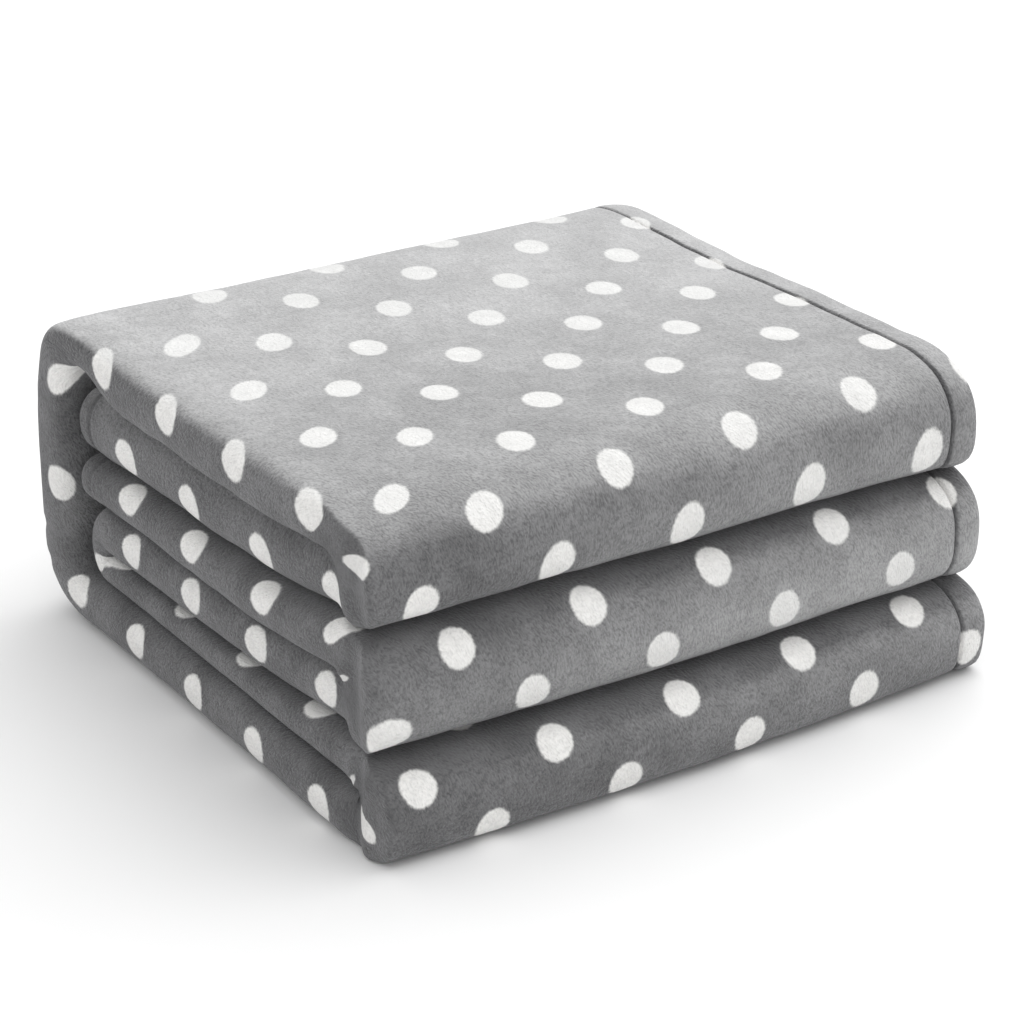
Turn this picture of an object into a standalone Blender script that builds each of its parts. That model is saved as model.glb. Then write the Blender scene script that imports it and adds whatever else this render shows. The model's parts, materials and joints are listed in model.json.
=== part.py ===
"""Fleece throw blanket, folded in quarters across its width and in six along its length.

The stack lies on a table: six flat lengths of four plies each, three round folds along the
front, one fold inside at the back, and a spine that wraps from the top length down to the
bottom one. The side hem runs up the right end and the end hems lie inside at the back.
Metres, +Z up, front at -Y, origin at the middle of the face that the stack rests on.
"""

import math

import bmesh
import bpy
from mathutils import Vector

# Folded size
STACK_WIDTH = 0.3175  # a quarter of the 1.27 m width of the throw
STACK_DEPTH = 0.295
LENGTH_THICKNESS = {  # four plies each, from the table up
    "bottom": 0.0305,
    "fifth": 0.0125,
    "fourth": 0.0220,
    "third": 0.0215,
    "second": 0.0255,
    "top": 0.0280,
}
CLEARANCE = 0.0003  # between cloth that touches

# Folds
FRONT_FOLD_DEPTH = 0.027  # how far a front fold swells past its flat lengths
FRONT_LEAN = {"bottom": 0.0, "middle": 0.003, "top": 0.006}  # set back of each front fold
INNER_FOLD_DEPTH = 0.016  # the fold at the back between the fourth and fifth lengths
SPINE_THICKNESS = 0.024
SPINE_BEND_RADIUS = 0.036  # outside radius where the spine turns into the flat lengths
INNER_END_SHARE = 0.5  # how far the ends inside the spine reach into its bends

# Hems and their stitching
SIDE_HEM_WIDTH = 0.0135
END_HEM_WIDTH = 0.015
HEM_GROOVE = 0.003  # radius of the two shoulders that the stitching lies between
HEM_EDGE_RADIUS = 0.008
END_HEM_RADIUS = 0.010
THREAD_RADIUS = 0.0005

# Left end, where all four plies turn back
ROUNDED_SHARE = 0.48  # of a length's thickness, on each of its two edges
FOLD_END_RADIUS = 0.011
ROUND_STEPS = 3
FOLD_STEPS = 12
BEND_STEPS = 6

LEFT = -STACK_WIDTH / 2
RIGHT = STACK_WIDTH / 2
HEM_START = RIGHT - SIDE_HEM_WIDTH
FRONT = -STACK_DEPTH / 2
BACK = STACK_DEPTH / 2
BEND_START = BACK - SPINE_BEND_RADIUS
INNER_BACK = BEND_START + (SPINE_BEND_RADIUS - SPINE_THICKNESS) * INNER_END_SHARE


def length_heights():
    """Lowest and highest point of each flat length."""
    heights = {}
    base = 0.0
    for name, thickness in LENGTH_THICKNESS.items():
        heights[name] = (base, base + thickness)
        base += thickness + CLEARANCE
    return heights


HEIGHTS = length_heights()
STACK_HEIGHT = HEIGHTS["top"][1]

# The spine swings about the middle of each bend, so that a bend keeps its cloth's length when
# it lies flat. The offset is the same from the back and from the resting face.
BEND_LENGTH = math.pi / 2 * (SPINE_BEND_RADIUS - SPINE_THICKNESS / 2)
AXIS_OFFSET = SPINE_BEND_RADIUS - BEND_LENGTH / 2
LOWER_AXIS = (0.0, BACK - AXIS_OFFSET, AXIS_OFFSET)
UPPER_AXIS = (0.0, BACK - AXIS_OFFSET, STACK_HEIGHT - AXIS_OFFSET)


def clear_scene():
    for thing in list(bpy.data.objects):
        bpy.data.objects.remove(thing, do_unlink=True)


def make_material(name, colour, roughness):
    material = bpy.data.materials.new(name)
    material.use_nodes = True
    shader = material.node_tree.nodes["Principled BSDF"]
    shader.inputs["Base Color"].default_value = (*colour, 1.0)
    shader.inputs["Roughness"].default_value = roughness
    shader.inputs["Metallic"].default_value = 0.0
    return material


def make_axis(name, place, parent=None, parent_place=(0.0, 0.0, 0.0)):
    axis = bpy.data.objects.new(name, None)
    bpy.context.collection.objects.link(axis)
    axis.parent = parent
    axis.location = [here - base for here, base in zip(place, parent_place)]
    return axis


def arc(centre, radii, start, end, steps):
    """Points (y, z) along an ellipse's arc, by angle in degrees from +Y towards +Z."""
    angles = [math.radians(start + (end - start) * i / steps) for i in range(steps + 1)]
    return [(centre[0] + radii[0] * math.cos(a), centre[1] + radii[1] * math.sin(a)) for a in angles]


def flat_outline(front, back, name):
    """A flat length seen from the right: its first and third sides are free."""
    low, high = HEIGHTS[name]
    return [(front, low), (back, low), (back, high), (front, high)], {1, 3}


def fold_outline(flat_side, depth, lower, upper, inset=0.0):
    """A half-ellipse fold that joins two lengths. A negative depth swells towards the front."""
    low, high = HEIGHTS[lower][0] + inset, HEIGHTS[upper][1] - inset
    centre = (flat_side, (low + high) / 2)
    swell = abs(depth) - inset
    if depth < 0:
        points = arc(centre, (swell, (high - low) / 2), 90, 270, FOLD_STEPS)
    else:
        points = arc(centre, (swell, (high - low) / 2), -90, 90, FOLD_STEPS)
    return points, {len(points) - 1}


def bend_outline(flat_name, at_top):
    """A quarter bend from a flat length into the spine. Its inside narrows to the spine."""
    radius = SPINE_BEND_RADIUS
    inside = (radius - SPINE_THICKNESS, radius - LENGTH_THICKNESS[flat_name])
    start = BEND_START + CLEARANCE
    outer = arc((start, radius), (radius - CLEARANCE, radius), -90, 0, BEND_STEPS)
    inner = arc((start, radius), (inside[0] - CLEARANCE, inside[1]), 0, -90, BEND_STEPS)
    points = outer + inner
    if at_top:
        points = [(y, STACK_HEIGHT - z) for y, z in reversed(points)]
    return points, {BEND_STEPS, len(points) - 1}


def spine_outline():
    low = SPINE_BEND_RADIUS + CLEARANCE
    high = STACK_HEIGHT - SPINE_BEND_RADIUS - CLEARANCE
    inside = BACK - SPINE_THICKNESS
    return [(inside, low), (BACK, low), (BACK, high), (inside, high)], {0, 2}


def end_hem_outline(name):
    """The hemmed free end of a length, rounded at the back."""
    low, high = HEIGHTS[name]
    radius = min(END_HEM_RADIUS, (high - low) / 2)
    start = INNER_BACK - END_HEM_WIDTH + CLEARANCE
    lower_turn = arc((INNER_BACK - radius, low + radius), (radius, radius), -90, 0, ROUND_STEPS)
    upper_turn = arc((INNER_BACK - radius, high - radius), (radius, radius), 0, 90, ROUND_STEPS)
    points = [(start, low)] + lower_turn + upper_turn + [(start, high)]
    return points, {len(points) - 1}


def add_slab(name, outline, seams, ends, rounding, material, parent, origin):
    """Extrude an outline along X and round the edges of both ends, but not along its seams."""
    mesh = bpy.data.meshes.new(name)
    shape = bmesh.new()
    rims = [[shape.verts.new((x, y, z)) for y, z in outline] for x in ends]
    count = len(outline)
    shape.faces.new(rims[0])
    shape.faces.new(list(reversed(rims[1])))
    for i in range(count):
        j = (i + 1) % count
        shape.faces.new((rims[0][j], rims[0][i], rims[1][i], rims[1][j]))
    bmesh.ops.recalc_face_normals(shape, faces=shape.faces)
    width = max(rounding)
    weights = shape.edges.layers.float.new("bevel_weight_edge")
    for rim, radius in zip(rims, rounding):
        for i in range(count):
            if i not in seams:
                edge = shape.edges.get((rim[i], rim[(i + 1) % count]))
                edge[weights] = radius / width
    for corner in shape.verts:
        corner.co -= Vector(origin)
    shape.to_mesh(mesh)
    shape.free()
    mesh.materials.append(material)
    slab = bpy.data.objects.new(name, mesh)
    bpy.context.collection.objects.link(slab)
    slab.parent = parent
    bevel = slab.modifiers.new("rounded_ends", "BEVEL")
    bevel.limit_method = "WEIGHT"
    bevel.width = width
    bevel.segments = ROUND_STEPS
    mesh.shade_smooth()
    mesh.set_sharp_from_angle(angle=math.radians(40))
    return slab


def thread_depth():
    """How far below the cloth's face the thread's middle lies between the two shoulders."""
    reach = HEM_GROOVE + THREAD_RADIUS + CLEARANCE
    return HEM_GROOVE - math.sqrt(reach**2 - (HEM_GROOVE + CLEARANCE / 2) ** 2)


def add_thread(name, points, material, parent, origin):
    """A stitched thread along points (y, z), in the groove between a length and its hem."""
    curve = bpy.data.curves.new(name, "CURVE")
    curve.dimensions = "3D"
    curve.bevel_depth = THREAD_RADIUS
    curve.bevel_resolution = 1
    curve.use_fill_caps = True
    line = curve.splines.new("POLY")
    line.points.add(len(points) - 1)
    for point, (y, z) in zip(line.points, points):
        point.co = (HEM_START - origin[0], y - origin[1], z - origin[2], 1.0)
    curve.materials.append(material)
    thread = bpy.data.objects.new(name, curve)
    bpy.context.collection.objects.link(thread)
    thread.parent = parent


def add_length(name, outline, seams, thickness, group, side_hem=True):
    """One folded length of the cloth, with its stretch of side hem at the right end."""
    parent, origin = group
    fleece, hem_fleece = bpy.data.materials["fleece"], bpy.data.materials["hem_fleece"]
    left_radius = min(FOLD_END_RADIUS, thickness * ROUNDED_SHARE)
    right_radius = min(HEM_EDGE_RADIUS, thickness * ROUNDED_SHARE)
    ends = (LEFT, HEM_START - CLEARANCE / 2)
    add_slab(name, outline, seams, ends, (left_radius, HEM_GROOVE), fleece, parent, origin)
    if side_hem:
        ends = (HEM_START + CLEARANCE / 2, RIGHT)
        rounding = (HEM_GROOVE, right_radius)
        add_slab(name + "_hem", outline, seams, ends, rounding, hem_fleece, parent, origin)


def add_end_hem(name, group):
    """The end hem across the free end of a length, the whole width of the stack."""
    parent, origin = group
    outline, seams = end_hem_outline(name)
    hem_fleece = bpy.data.materials["hem_fleece"]
    rounding = (END_HEM_RADIUS * 0.8, HEM_EDGE_RADIUS)
    add_slab(name + "_end_hem", outline, seams, (LEFT, RIGHT), rounding, hem_fleece, parent, origin)


def front_fold_side(band):
    return FRONT + FRONT_FOLD_DEPTH + FRONT_LEAN[band]


def add_front_fold(band, lower, upper, group):
    flat_side = front_fold_side(band) - CLEARANCE
    thread = bpy.data.materials["thread"]
    outline, seams = fold_outline(flat_side, -FRONT_FOLD_DEPTH + CLEARANCE, lower, upper)
    add_length(band + "_front_fold", outline, seams, LENGTH_THICKNESS[lower], group)
    line, _ = fold_outline(flat_side, -FRONT_FOLD_DEPTH + CLEARANCE, lower, upper, thread_depth())
    add_thread(band + "_front_fold_stitching", line, thread, *group)


def add_upper_stack(group):
    """The top and second lengths and the fold between them, which lift together."""
    front = front_fold_side("top")
    outline, seams = flat_outline(front, BEND_START, "top")
    add_length("top_length", outline, seams, LENGTH_THICKNESS["top"], group)
    height = STACK_HEIGHT - thread_depth()
    line = [(front, height), (BEND_START, height)]
    add_thread("top_length_stitching", line, bpy.data.materials["thread"], *group)
    outline, seams = flat_outline(front, INNER_BACK - END_HEM_WIDTH, "second")
    add_length("second_length", outline, seams, LENGTH_THICKNESS["second"], group)
    add_end_hem("second", group)
    add_front_fold("top", "second", "top", group)
    outline, seams = bend_outline("top", at_top=True)
    add_length("upper_back_bend", outline, seams, SPINE_THICKNESS, group)


def add_spine(group):
    outline, seams = spine_outline()
    add_length("spine", outline, seams, SPINE_THICKNESS, group)
    depth = BACK - thread_depth()
    line = [(depth, outline[1][1]), (depth, outline[2][1])]
    add_thread("spine_stitching", line, bpy.data.materials["thread"], *group)


def add_lower_stack(group):
    """The four lower lengths, their folds and the bend into the spine."""
    middle_front = front_fold_side("middle")
    bottom_front = front_fold_side("bottom")
    inner_back = INNER_BACK - INNER_FOLD_DEPTH
    spans = {
        "third": (middle_front, INNER_BACK - END_HEM_WIDTH),
        "fourth": (middle_front, inner_back),
        "fifth": (bottom_front, inner_back),
        "bottom": (bottom_front, BEND_START),
    }
    for name, (front, back) in spans.items():
        outline, seams = flat_outline(front, back, name)
        add_length(name + "_length", outline, seams, LENGTH_THICKNESS[name], group)
    add_end_hem("third", group)
    add_front_fold("middle", "fourth", "third", group)
    add_front_fold("bottom", "bottom", "fifth", group)
    flat_side = inner_back + CLEARANCE
    outline, seams = fold_outline(flat_side, INNER_FOLD_DEPTH - CLEARANCE, "fifth", "fourth")
    add_length("inner_back_fold", outline, seams, LENGTH_THICKNESS["fifth"], group)
    outline, seams = bend_outline("bottom", at_top=False)
    add_length("lower_back_bend", outline, seams, SPINE_THICKNESS, group)


clear_scene()
make_material("fleece", (0.36, 0.37, 0.38), 0.95)
make_material("hem_fleece", (0.30, 0.31, 0.32), 0.95)
make_material("thread", (0.22, 0.23, 0.24), 0.7)
lower_axis = make_axis("lower_spine_axis", LOWER_AXIS)
upper_axis = make_axis("upper_spine_axis", UPPER_AXIS, lower_axis, LOWER_AXIS)
add_lower_stack((None, (0.0, 0.0, 0.0)))
add_spine((lower_axis, LOWER_AXIS))
add_upper_stack((upper_axis, UPPER_AXIS))
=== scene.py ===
"""A folded fleece throw: its looks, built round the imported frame."""

import json
import math

import bpy
import numpy as np
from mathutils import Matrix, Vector


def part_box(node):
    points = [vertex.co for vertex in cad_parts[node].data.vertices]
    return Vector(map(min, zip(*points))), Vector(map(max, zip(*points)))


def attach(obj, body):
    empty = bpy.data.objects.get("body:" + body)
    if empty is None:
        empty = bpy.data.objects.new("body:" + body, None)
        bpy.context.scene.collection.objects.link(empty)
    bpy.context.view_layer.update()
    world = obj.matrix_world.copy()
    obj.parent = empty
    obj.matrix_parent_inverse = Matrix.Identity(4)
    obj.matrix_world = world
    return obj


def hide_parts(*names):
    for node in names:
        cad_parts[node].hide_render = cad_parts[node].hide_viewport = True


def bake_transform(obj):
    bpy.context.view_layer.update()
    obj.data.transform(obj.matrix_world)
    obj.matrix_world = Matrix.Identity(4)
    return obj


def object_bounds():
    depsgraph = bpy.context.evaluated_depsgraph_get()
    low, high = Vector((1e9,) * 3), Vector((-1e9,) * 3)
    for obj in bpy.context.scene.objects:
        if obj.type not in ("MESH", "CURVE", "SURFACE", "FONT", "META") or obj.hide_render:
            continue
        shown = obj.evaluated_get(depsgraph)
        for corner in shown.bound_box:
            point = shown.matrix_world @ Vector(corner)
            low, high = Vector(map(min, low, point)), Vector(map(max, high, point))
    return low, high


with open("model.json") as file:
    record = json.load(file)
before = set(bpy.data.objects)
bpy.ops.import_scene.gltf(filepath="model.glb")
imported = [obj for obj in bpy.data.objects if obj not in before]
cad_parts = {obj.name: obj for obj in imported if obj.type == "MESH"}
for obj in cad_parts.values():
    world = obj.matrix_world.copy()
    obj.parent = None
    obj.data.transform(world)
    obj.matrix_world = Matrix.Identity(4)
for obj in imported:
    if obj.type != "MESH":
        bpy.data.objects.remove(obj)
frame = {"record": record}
cad_box = [list(corner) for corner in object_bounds()]

# The throw: one cloth of double-faced fleece, 1.27 m by 1.78 m, folded in quarters across its width
# and then into six lengths. The lengths are pressed into a stack with only air between them. The
# frame gives their heights and the places of the folds, the free ends and the spine.

LEFT, FRONT = cad_box[0][0], cad_box[0][1]
RIGHT, BACK, HEIGHT = cad_box[1]
GAP = 0.00015  # half the gap between cloth that touches
ROW = 0.003  # distance between the mesh's rows


def smooth(value, start, end):
    """From 0 at start to 1 at end, with a soft beginning and a soft end."""
    share = np.clip((np.asarray(value, float) - start) / (end - start), 0, 1)
    return share * share * (3 - 2 * share)


def mix(first, second, share):
    """First at a share of 0, and second at a share of 1."""
    return first + (second - first) * share


def bump(value, middle, reach):
    """1 at the middle, and softly down to 0 at reach on either side."""
    return 1 - smooth(np.abs(np.asarray(value, float) - middle), 0, reach)


# The cloth's route through the stack. Each row across the cloth is a pair of points in the YZ
# plane, one on the printed face of the four plies and one on their other face. The pressed folds
# are soft, so the creases between the lengths rise a little where the front folds swell.

CREASE = {  # heights of the creases between the lengths
    "top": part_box("second_length")[1].z + 0.0035,
    "upper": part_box("third_length")[1].z - 0.001,
    "middle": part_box("fourth_length")[1].z - 0.001,
    "lower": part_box("fifth_length")[1].z - 0.004,
    "bottom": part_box("bottom_length")[1].z - 0.005,
    "floor": 0.0,
    "summit": HEIGHT,
}
FRONT_RISE = {"top": 0.006, "upper": 0.0095, "middle": 0.007, "lower": 0.0045, "bottom": -0.002}
RISE_START, RISE_END = 0.03, 0.125  # where the creases rise, from the stack's middle forwards
SPINE_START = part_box("bottom_length")[1].y
SPINE_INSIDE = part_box("spine")[0].y
FREE_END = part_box("second_end_hem")[1].y
INNER_FOLD_START, INNER_FOLD_END = (corner.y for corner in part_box("inner_back_fold"))


def crease(name, y):
    """Height of the crease above the floor, at a distance y along the stack."""
    return CREASE[name] + FRONT_RISE.get(name, 0.0) * smooth(-np.asarray(y), RISE_START, RISE_END)


MM = 0.001
END_STEPS = np.array([0, 0.3, 0.9, 1.8, 3, 4.5, 6.5, 8.5, 9.6, 10.4, 11.2, 12.2, 13.5, 15.5, 18]) * MM


def flat_rows(start, end, printed, plain, free_end=None):
    """Rows of a flat length, from y = start to y = end, between two creases. The rows of a
    hemmed free end stand closer together."""
    y = np.linspace(start, end, round(abs(end - start) / ROW) + 1)
    if free_end == "start":
        y = np.concatenate([start - END_STEPS, y[y < start - END_STEPS[-1] - MM]])
    if free_end == "end":
        y = np.concatenate([y[y < end - END_STEPS[-1] - MM], end - END_STEPS[::-1]])
    lift = GAP if CREASE[printed] > CREASE[plain] else -GAP
    printed_z = crease(printed, y) - lift * (0 < CREASE[printed] < HEIGHT)
    return np.stack([y, printed_z], 1), np.stack([y, crease(plain, y) + lift], 1)


def evenly(outline):
    """Points along an outline at a row's distance from each other."""
    gaps = np.linalg.norm(np.diff(outline, axis=0), axis=1)
    along = np.concatenate([[0], np.cumsum(gaps)])
    spots = np.linspace(0, along[-1], round(along[-1] / ROW) + 1)
    return np.stack([np.interp(spots, along, outline[:, k]) for k in (0, 1)], 1)


INNER_TURN = 6  # in how small a share of a fold, one in six, its inner face turns over


def turn_rows(outline, start, centre):
    """Rows round a fold. Their inner points follow the crease to its end and come back."""
    outer = evenly(outline)
    share = np.linspace(-1, 1, len(outer))
    reach = np.abs(share) * (outline[[0, -1], 0][(share > 0).astype(int)] - start)
    y = start + reach
    side = np.where(share > 0, 1, -1) * np.minimum(np.abs(share) * INNER_TURN, 1)
    return outer, np.stack([y, crease(centre, y) + side * GAP], 1)


QUARTER = np.linspace(0, np.pi / 2, 40)


def front_fold(low, centre, high, under_start, over_start, belly, square):
    """Rows round a front fold, from its lower length to its upper one. Belly is the fold's
    foremost point, and square is how full its two shoulders are, from 1, round, to 0.5."""
    under, over = float(crease(low, under_start)), float(crease(high, over_start))
    lower = np.stack([mix(under_start, belly[0], np.sin(QUARTER) ** square[0]),
                      mix(belly[1], under, np.cos(QUARTER) ** square[0])], 1)
    upper = np.stack([mix(over_start, belly[0], np.cos(QUARTER) ** square[1]),
                      mix(belly[1], over, np.sin(QUARTER) ** square[1])], 1)
    start = (under_start + over_start) / 2
    return turn_rows(np.concatenate([lower, upper[1:]]), start, centre)


def inner_fold():
    """Rows of the fold inside the back, from the fifth length up to the fourth."""
    low, middle, high = (CREASE[name] for name in ("bottom", "lower", "middle"))
    turn = np.linspace(-np.pi / 2, np.pi / 2, 40)
    y = INNER_FOLD_START + (INNER_FOLD_END - INNER_FOLD_START) * np.cos(turn)
    outline = np.stack([y, mix(low + GAP, high - GAP, (np.sin(turn) + 1) / 2)], 1)
    outer, inner = turn_rows(outline, INNER_FOLD_START, "lower")
    return inner, outer


BACK_SWELL = 0.006  # how far the spine stands proud of its flat back
SWELL_FULLNESS = 0.7  # 1 for an even curve, less for a fuller one
BEND_RADIUS = BACK - SPINE_START
BEND_ROWS = 19


def back_outline(z):
    """How far back the outside of the stack reaches at each height."""
    return BACK + BACK_SWELL * np.sin(np.pi * np.clip(np.asarray(z) / HEIGHT, 0, 1)) ** SWELL_FULLNESS


def back_bend(inside_height, corner, square):
    """Rows of a quarter bend from the spine to a flat length. Corner is its outer height."""
    turn = np.linspace(0, np.pi / 2, BEND_ROWS)
    toward = 1 if corner > 0 else -1
    z = corner - toward * BEND_RADIUS * (1 - np.sin(turn) ** square)
    depth = back_outline(corner - toward * BEND_RADIUS) - SPINE_START
    outer = np.stack([SPINE_START + depth * np.cos(turn) ** square, z], 1)
    reach = abs(inside_height - (corner - toward * BEND_RADIUS))
    inner_z = inside_height - toward * reach * (1 - np.sin(turn))
    inner = np.stack([SPINE_START + (SPINE_INSIDE - SPINE_START) * np.cos(turn) ** square, inner_z], 1)
    return outer, inner


def spine_rows():
    """Rows of the upright spine, from its upper bend down to its lower one."""
    count = round((HEIGHT - 2 * BEND_RADIUS) / ROW) + 1
    z = np.linspace(HEIGHT - BEND_RADIUS, BEND_RADIUS, count)
    return np.stack([back_outline(z), z], 1), np.stack([SPINE_INSIDE + 0 * z, z], 1)


FLAT_FRONT = {  # where each flat length gives way to its front fold
    "top": -0.092, "second": -0.112, "third": -0.112, "fourth": -0.118, "fifth": -0.118, "bottom": -0.122,
}
BOTTOM_UNDERCUT = 0.004  # how much further forward the bottom fold leaves the floor
BELLY = {  # the foremost point of each front fold
    "top": (FRONT + 0.0105, 0.114), "middle": (FRONT + 0.004, 0.070), "bottom": (FRONT - 0.0045, 0.021),
}
SHOULDERS = {"top": (0.66, 0.88), "middle": (0.66, 0.85), "bottom": (0.5, 0.85)}
HOLLOW = 0.010  # how much thinner the top length is where it bends down
HOLLOW_REACH = 0.032
UPPER_BEND_SQUARE, LOWER_BEND_SQUARE = 0.7, 0.85

TOP_FOLD = front_fold("upper", "top", "summit", FLAT_FRONT["second"], FLAT_FRONT["top"],
                      BELLY["top"], SHOULDERS["top"])
MIDDLE_FOLD = front_fold("lower", "middle", "upper", FLAT_FRONT["fourth"], FLAT_FRONT["third"],
                         BELLY["middle"], SHOULDERS["middle"])
BOTTOM_FOLD = front_fold("floor", "bottom", "lower", FLAT_FRONT["bottom"] - BOTTOM_UNDERCUT,
                         FLAT_FRONT["fifth"], BELLY["bottom"], SHOULDERS["bottom"])
TOP = flat_rows(FLAT_FRONT["top"], SPINE_START, "summit", "top")
TOP[1][:, 1] += HOLLOW * smooth(TOP[1][:, 0], SPINE_START - HOLLOW_REACH, SPINE_START)
UPPER_BEND = back_bend(CREASE["top"] + HOLLOW, HEIGHT, UPPER_BEND_SQUARE)
LOWER_BEND = back_bend(CREASE["bottom"], 0.0, LOWER_BEND_SQUARE)
SEGMENTS = [
    ("second", flat_rows(FREE_END, FLAT_FRONT["second"], "upper", "top", "start")),
    ("top_fold", TOP_FOLD),
    ("top", TOP),
    ("upper_bend", [side[::-1] for side in UPPER_BEND]),
    ("spine", spine_rows()),
    ("lower_bend", LOWER_BEND),
    ("bottom", flat_rows(SPINE_START, FLAT_FRONT["bottom"], "floor", "bottom")),
    ("bottom_fold", BOTTOM_FOLD),
    ("fifth", flat_rows(FLAT_FRONT["fifth"], INNER_FOLD_START, "lower", "bottom")),
    ("inner_fold", inner_fold()),
    ("fourth", flat_rows(INNER_FOLD_START, FLAT_FRONT["fourth"], "lower", "middle")),
    ("middle_fold", MIDDLE_FOLD),
    ("third", flat_rows(FLAT_FRONT["third"], FREE_END, "upper", "middle", "end")),
]


def join_rows():
    """All rows in one run, and the first row and last row of each segment."""
    printed, plain, spans, count = [], [], {}, 0
    for name, (first, second) in SEGMENTS:
        skip = 1 if printed else 0
        printed.append(first[skip:])
        plain.append(second[skip:])
        spans[name] = (max(count - 1, 0), count + len(first) - skip - 1)
        count += len(first) - skip
    return np.concatenate(printed), np.concatenate(plain), spans


PRINTED, PLAIN, SPAN = join_rows()


def along_rows(values, softness=4):
    """One value a row from {segment: (start, end)}, softened over a few rows."""
    rows = np.zeros(len(PRINTED))
    for name, (start, end) in values.items():
        first, last = SPAN[name]
        rows[first : last + 1] = np.linspace(start, end, last - first + 1)
    window = np.hanning(2 * softness + 3)[1:-1]
    padded = np.pad(rows, softness, mode="edge")
    return np.convolve(padded, window / window.sum(), mode="valid")


# The cloth's four plies. The cloth runs from its outer side hem to the left end, back under, and in
# again, so the left end shows the outer turn, and the right end shows two hems and a fold. Each hem
# is turned over once and stitched down. Heights are shares of the four plies' thickness.

HEM_START = 38 * MM  # from the right edge to where the plies begin to give way to the hems
OUTER_HEM = [  # distance from the right edge, and the heights of the ply's two faces
    (0.0, 0.875, 0.845), (0.3, 0.93, 0.79), (1.0, 0.98, 0.755), (2.4, 1.01, 0.72),
    (4.6, 1.025, 0.70), (7.5, 1.03, 0.69), (10.8, 1.025, 0.685), (13.2, 1.01, 0.68),
    (14.1, 0.985, 0.675), (14.6, 0.93, 0.67), (15.0, 0.90, 0.67), (15.4, 0.92, 0.67),
    (15.9, 0.98, 0.675), (17.0, 1.0, 0.685), (20.0, 1.0, 0.695), (24.0, 1.0, 0.71),
    (28.5, 1.0, 0.73), (33.5, 1.0, 0.745),
]
SEAM = 10  # which of these points the outer hem's stitches lie in
INNER_HEM = [
    (36.0, 0.505, 0.745), (26.0, 0.46, 0.69), (18.0, 0.39, 0.64), (12.0, 0.36, 0.62),
    (8.0, 0.355, 0.615), (6.0, 0.36, 0.607), (4.6, 0.38, 0.58), (3.8, 0.42, 0.54), (3.5, 0.475, 0.485),
]
LOWER_RETURN = [(26.0, 0.0, 0.215), (18.0, 0.0, 0.175), (12.0, 0.0, 0.16), (9.0, 0.003, 0.158)]
UPPER_RETURN = [(12.0, 0.332, 0.172), (18.0, 0.36, 0.185), (26.0, 0.435, 0.23), (36.0, 0.49, 0.252)]
FACE_SAMPLES = round((RIGHT - LEFT) / ROW)
HIDDEN_SAMPLES = 14
PLY = 0.24  # a ply's share of the strip's thickness
TIGHT = 0.006  # half the gap between two plies, as a share of the strip's thickness
FRONT_FOLDS = ("top_fold", "middle_fold", "bottom_fold")
EDGE_SHIFT = MM * along_rows({  # how far short of the frame's left end each stretch of cloth turns
    "second": (1.0, 7.0), "top_fold": (4.0, 2.0), "top": (0.5, 0.0), "upper_bend": (-2.0, -5.0),
    "spine": (-6.0, -7.5), "lower_bend": (-8.0, -5.5), "bottom": (-4.5, -3.0),
    "bottom_fold": (-1.0, 3.0), "fifth": (3.0, 2.0), "inner_fold": (2.0, 1.0),
    "fourth": (1.0, 7.0), "middle_fold": (1.0, 1.0), "third": (1.0, 0.0),
})
PRINTED_ROUND = along_rows({  # how deep the left end's turn is, as a share of half the thickness
    "second": (1.15, 1.15), "top_fold": (0.30, 0.26), "top": (1.15, 1.15), "upper_bend": (0.9, 0.8),
    "spine": (0.85, 0.85), "lower_bend": (0.9, 0.9), "bottom": (0.9, 0.8), "bottom_fold": (0.22, 0.22),
    "fifth": (1.1, 1.1), "inner_fold": (1.0, 1.0), "fourth": (1.0, 1.0), "middle_fold": (0.22, 0.22),
    "third": (1.2, 1.2),
})
PLAIN_ROUND = along_rows({
    name: (0.36, 0.36) if name in FRONT_FOLDS else (0.9, 0.9) for name in SPAN
})
FULLER = (*FRONT_FOLDS, "top", "upper_bend", "spine")
SQUARE = along_rows({  # how full that turn's shoulders are, as for a front fold
    name: (0.7, 0.7) if name in FULLER else (0.88, 0.88) for name in SPAN
})
TURN_SAMPLES, SMALL_TURN_SAMPLES = 23, 9
RETURN_END = 8 * MM  # from the right edge to the middle of the lower plies' turn
RETURN_BULGE, RETURN_HEIGHT = 5.6 * MM, 0.165
SHUT = 0.2 * MM  # how deep the inside of a tight turn is
INNER_LEFT = 2.1  # how many plies inside the left end the inner plies turn


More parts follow.
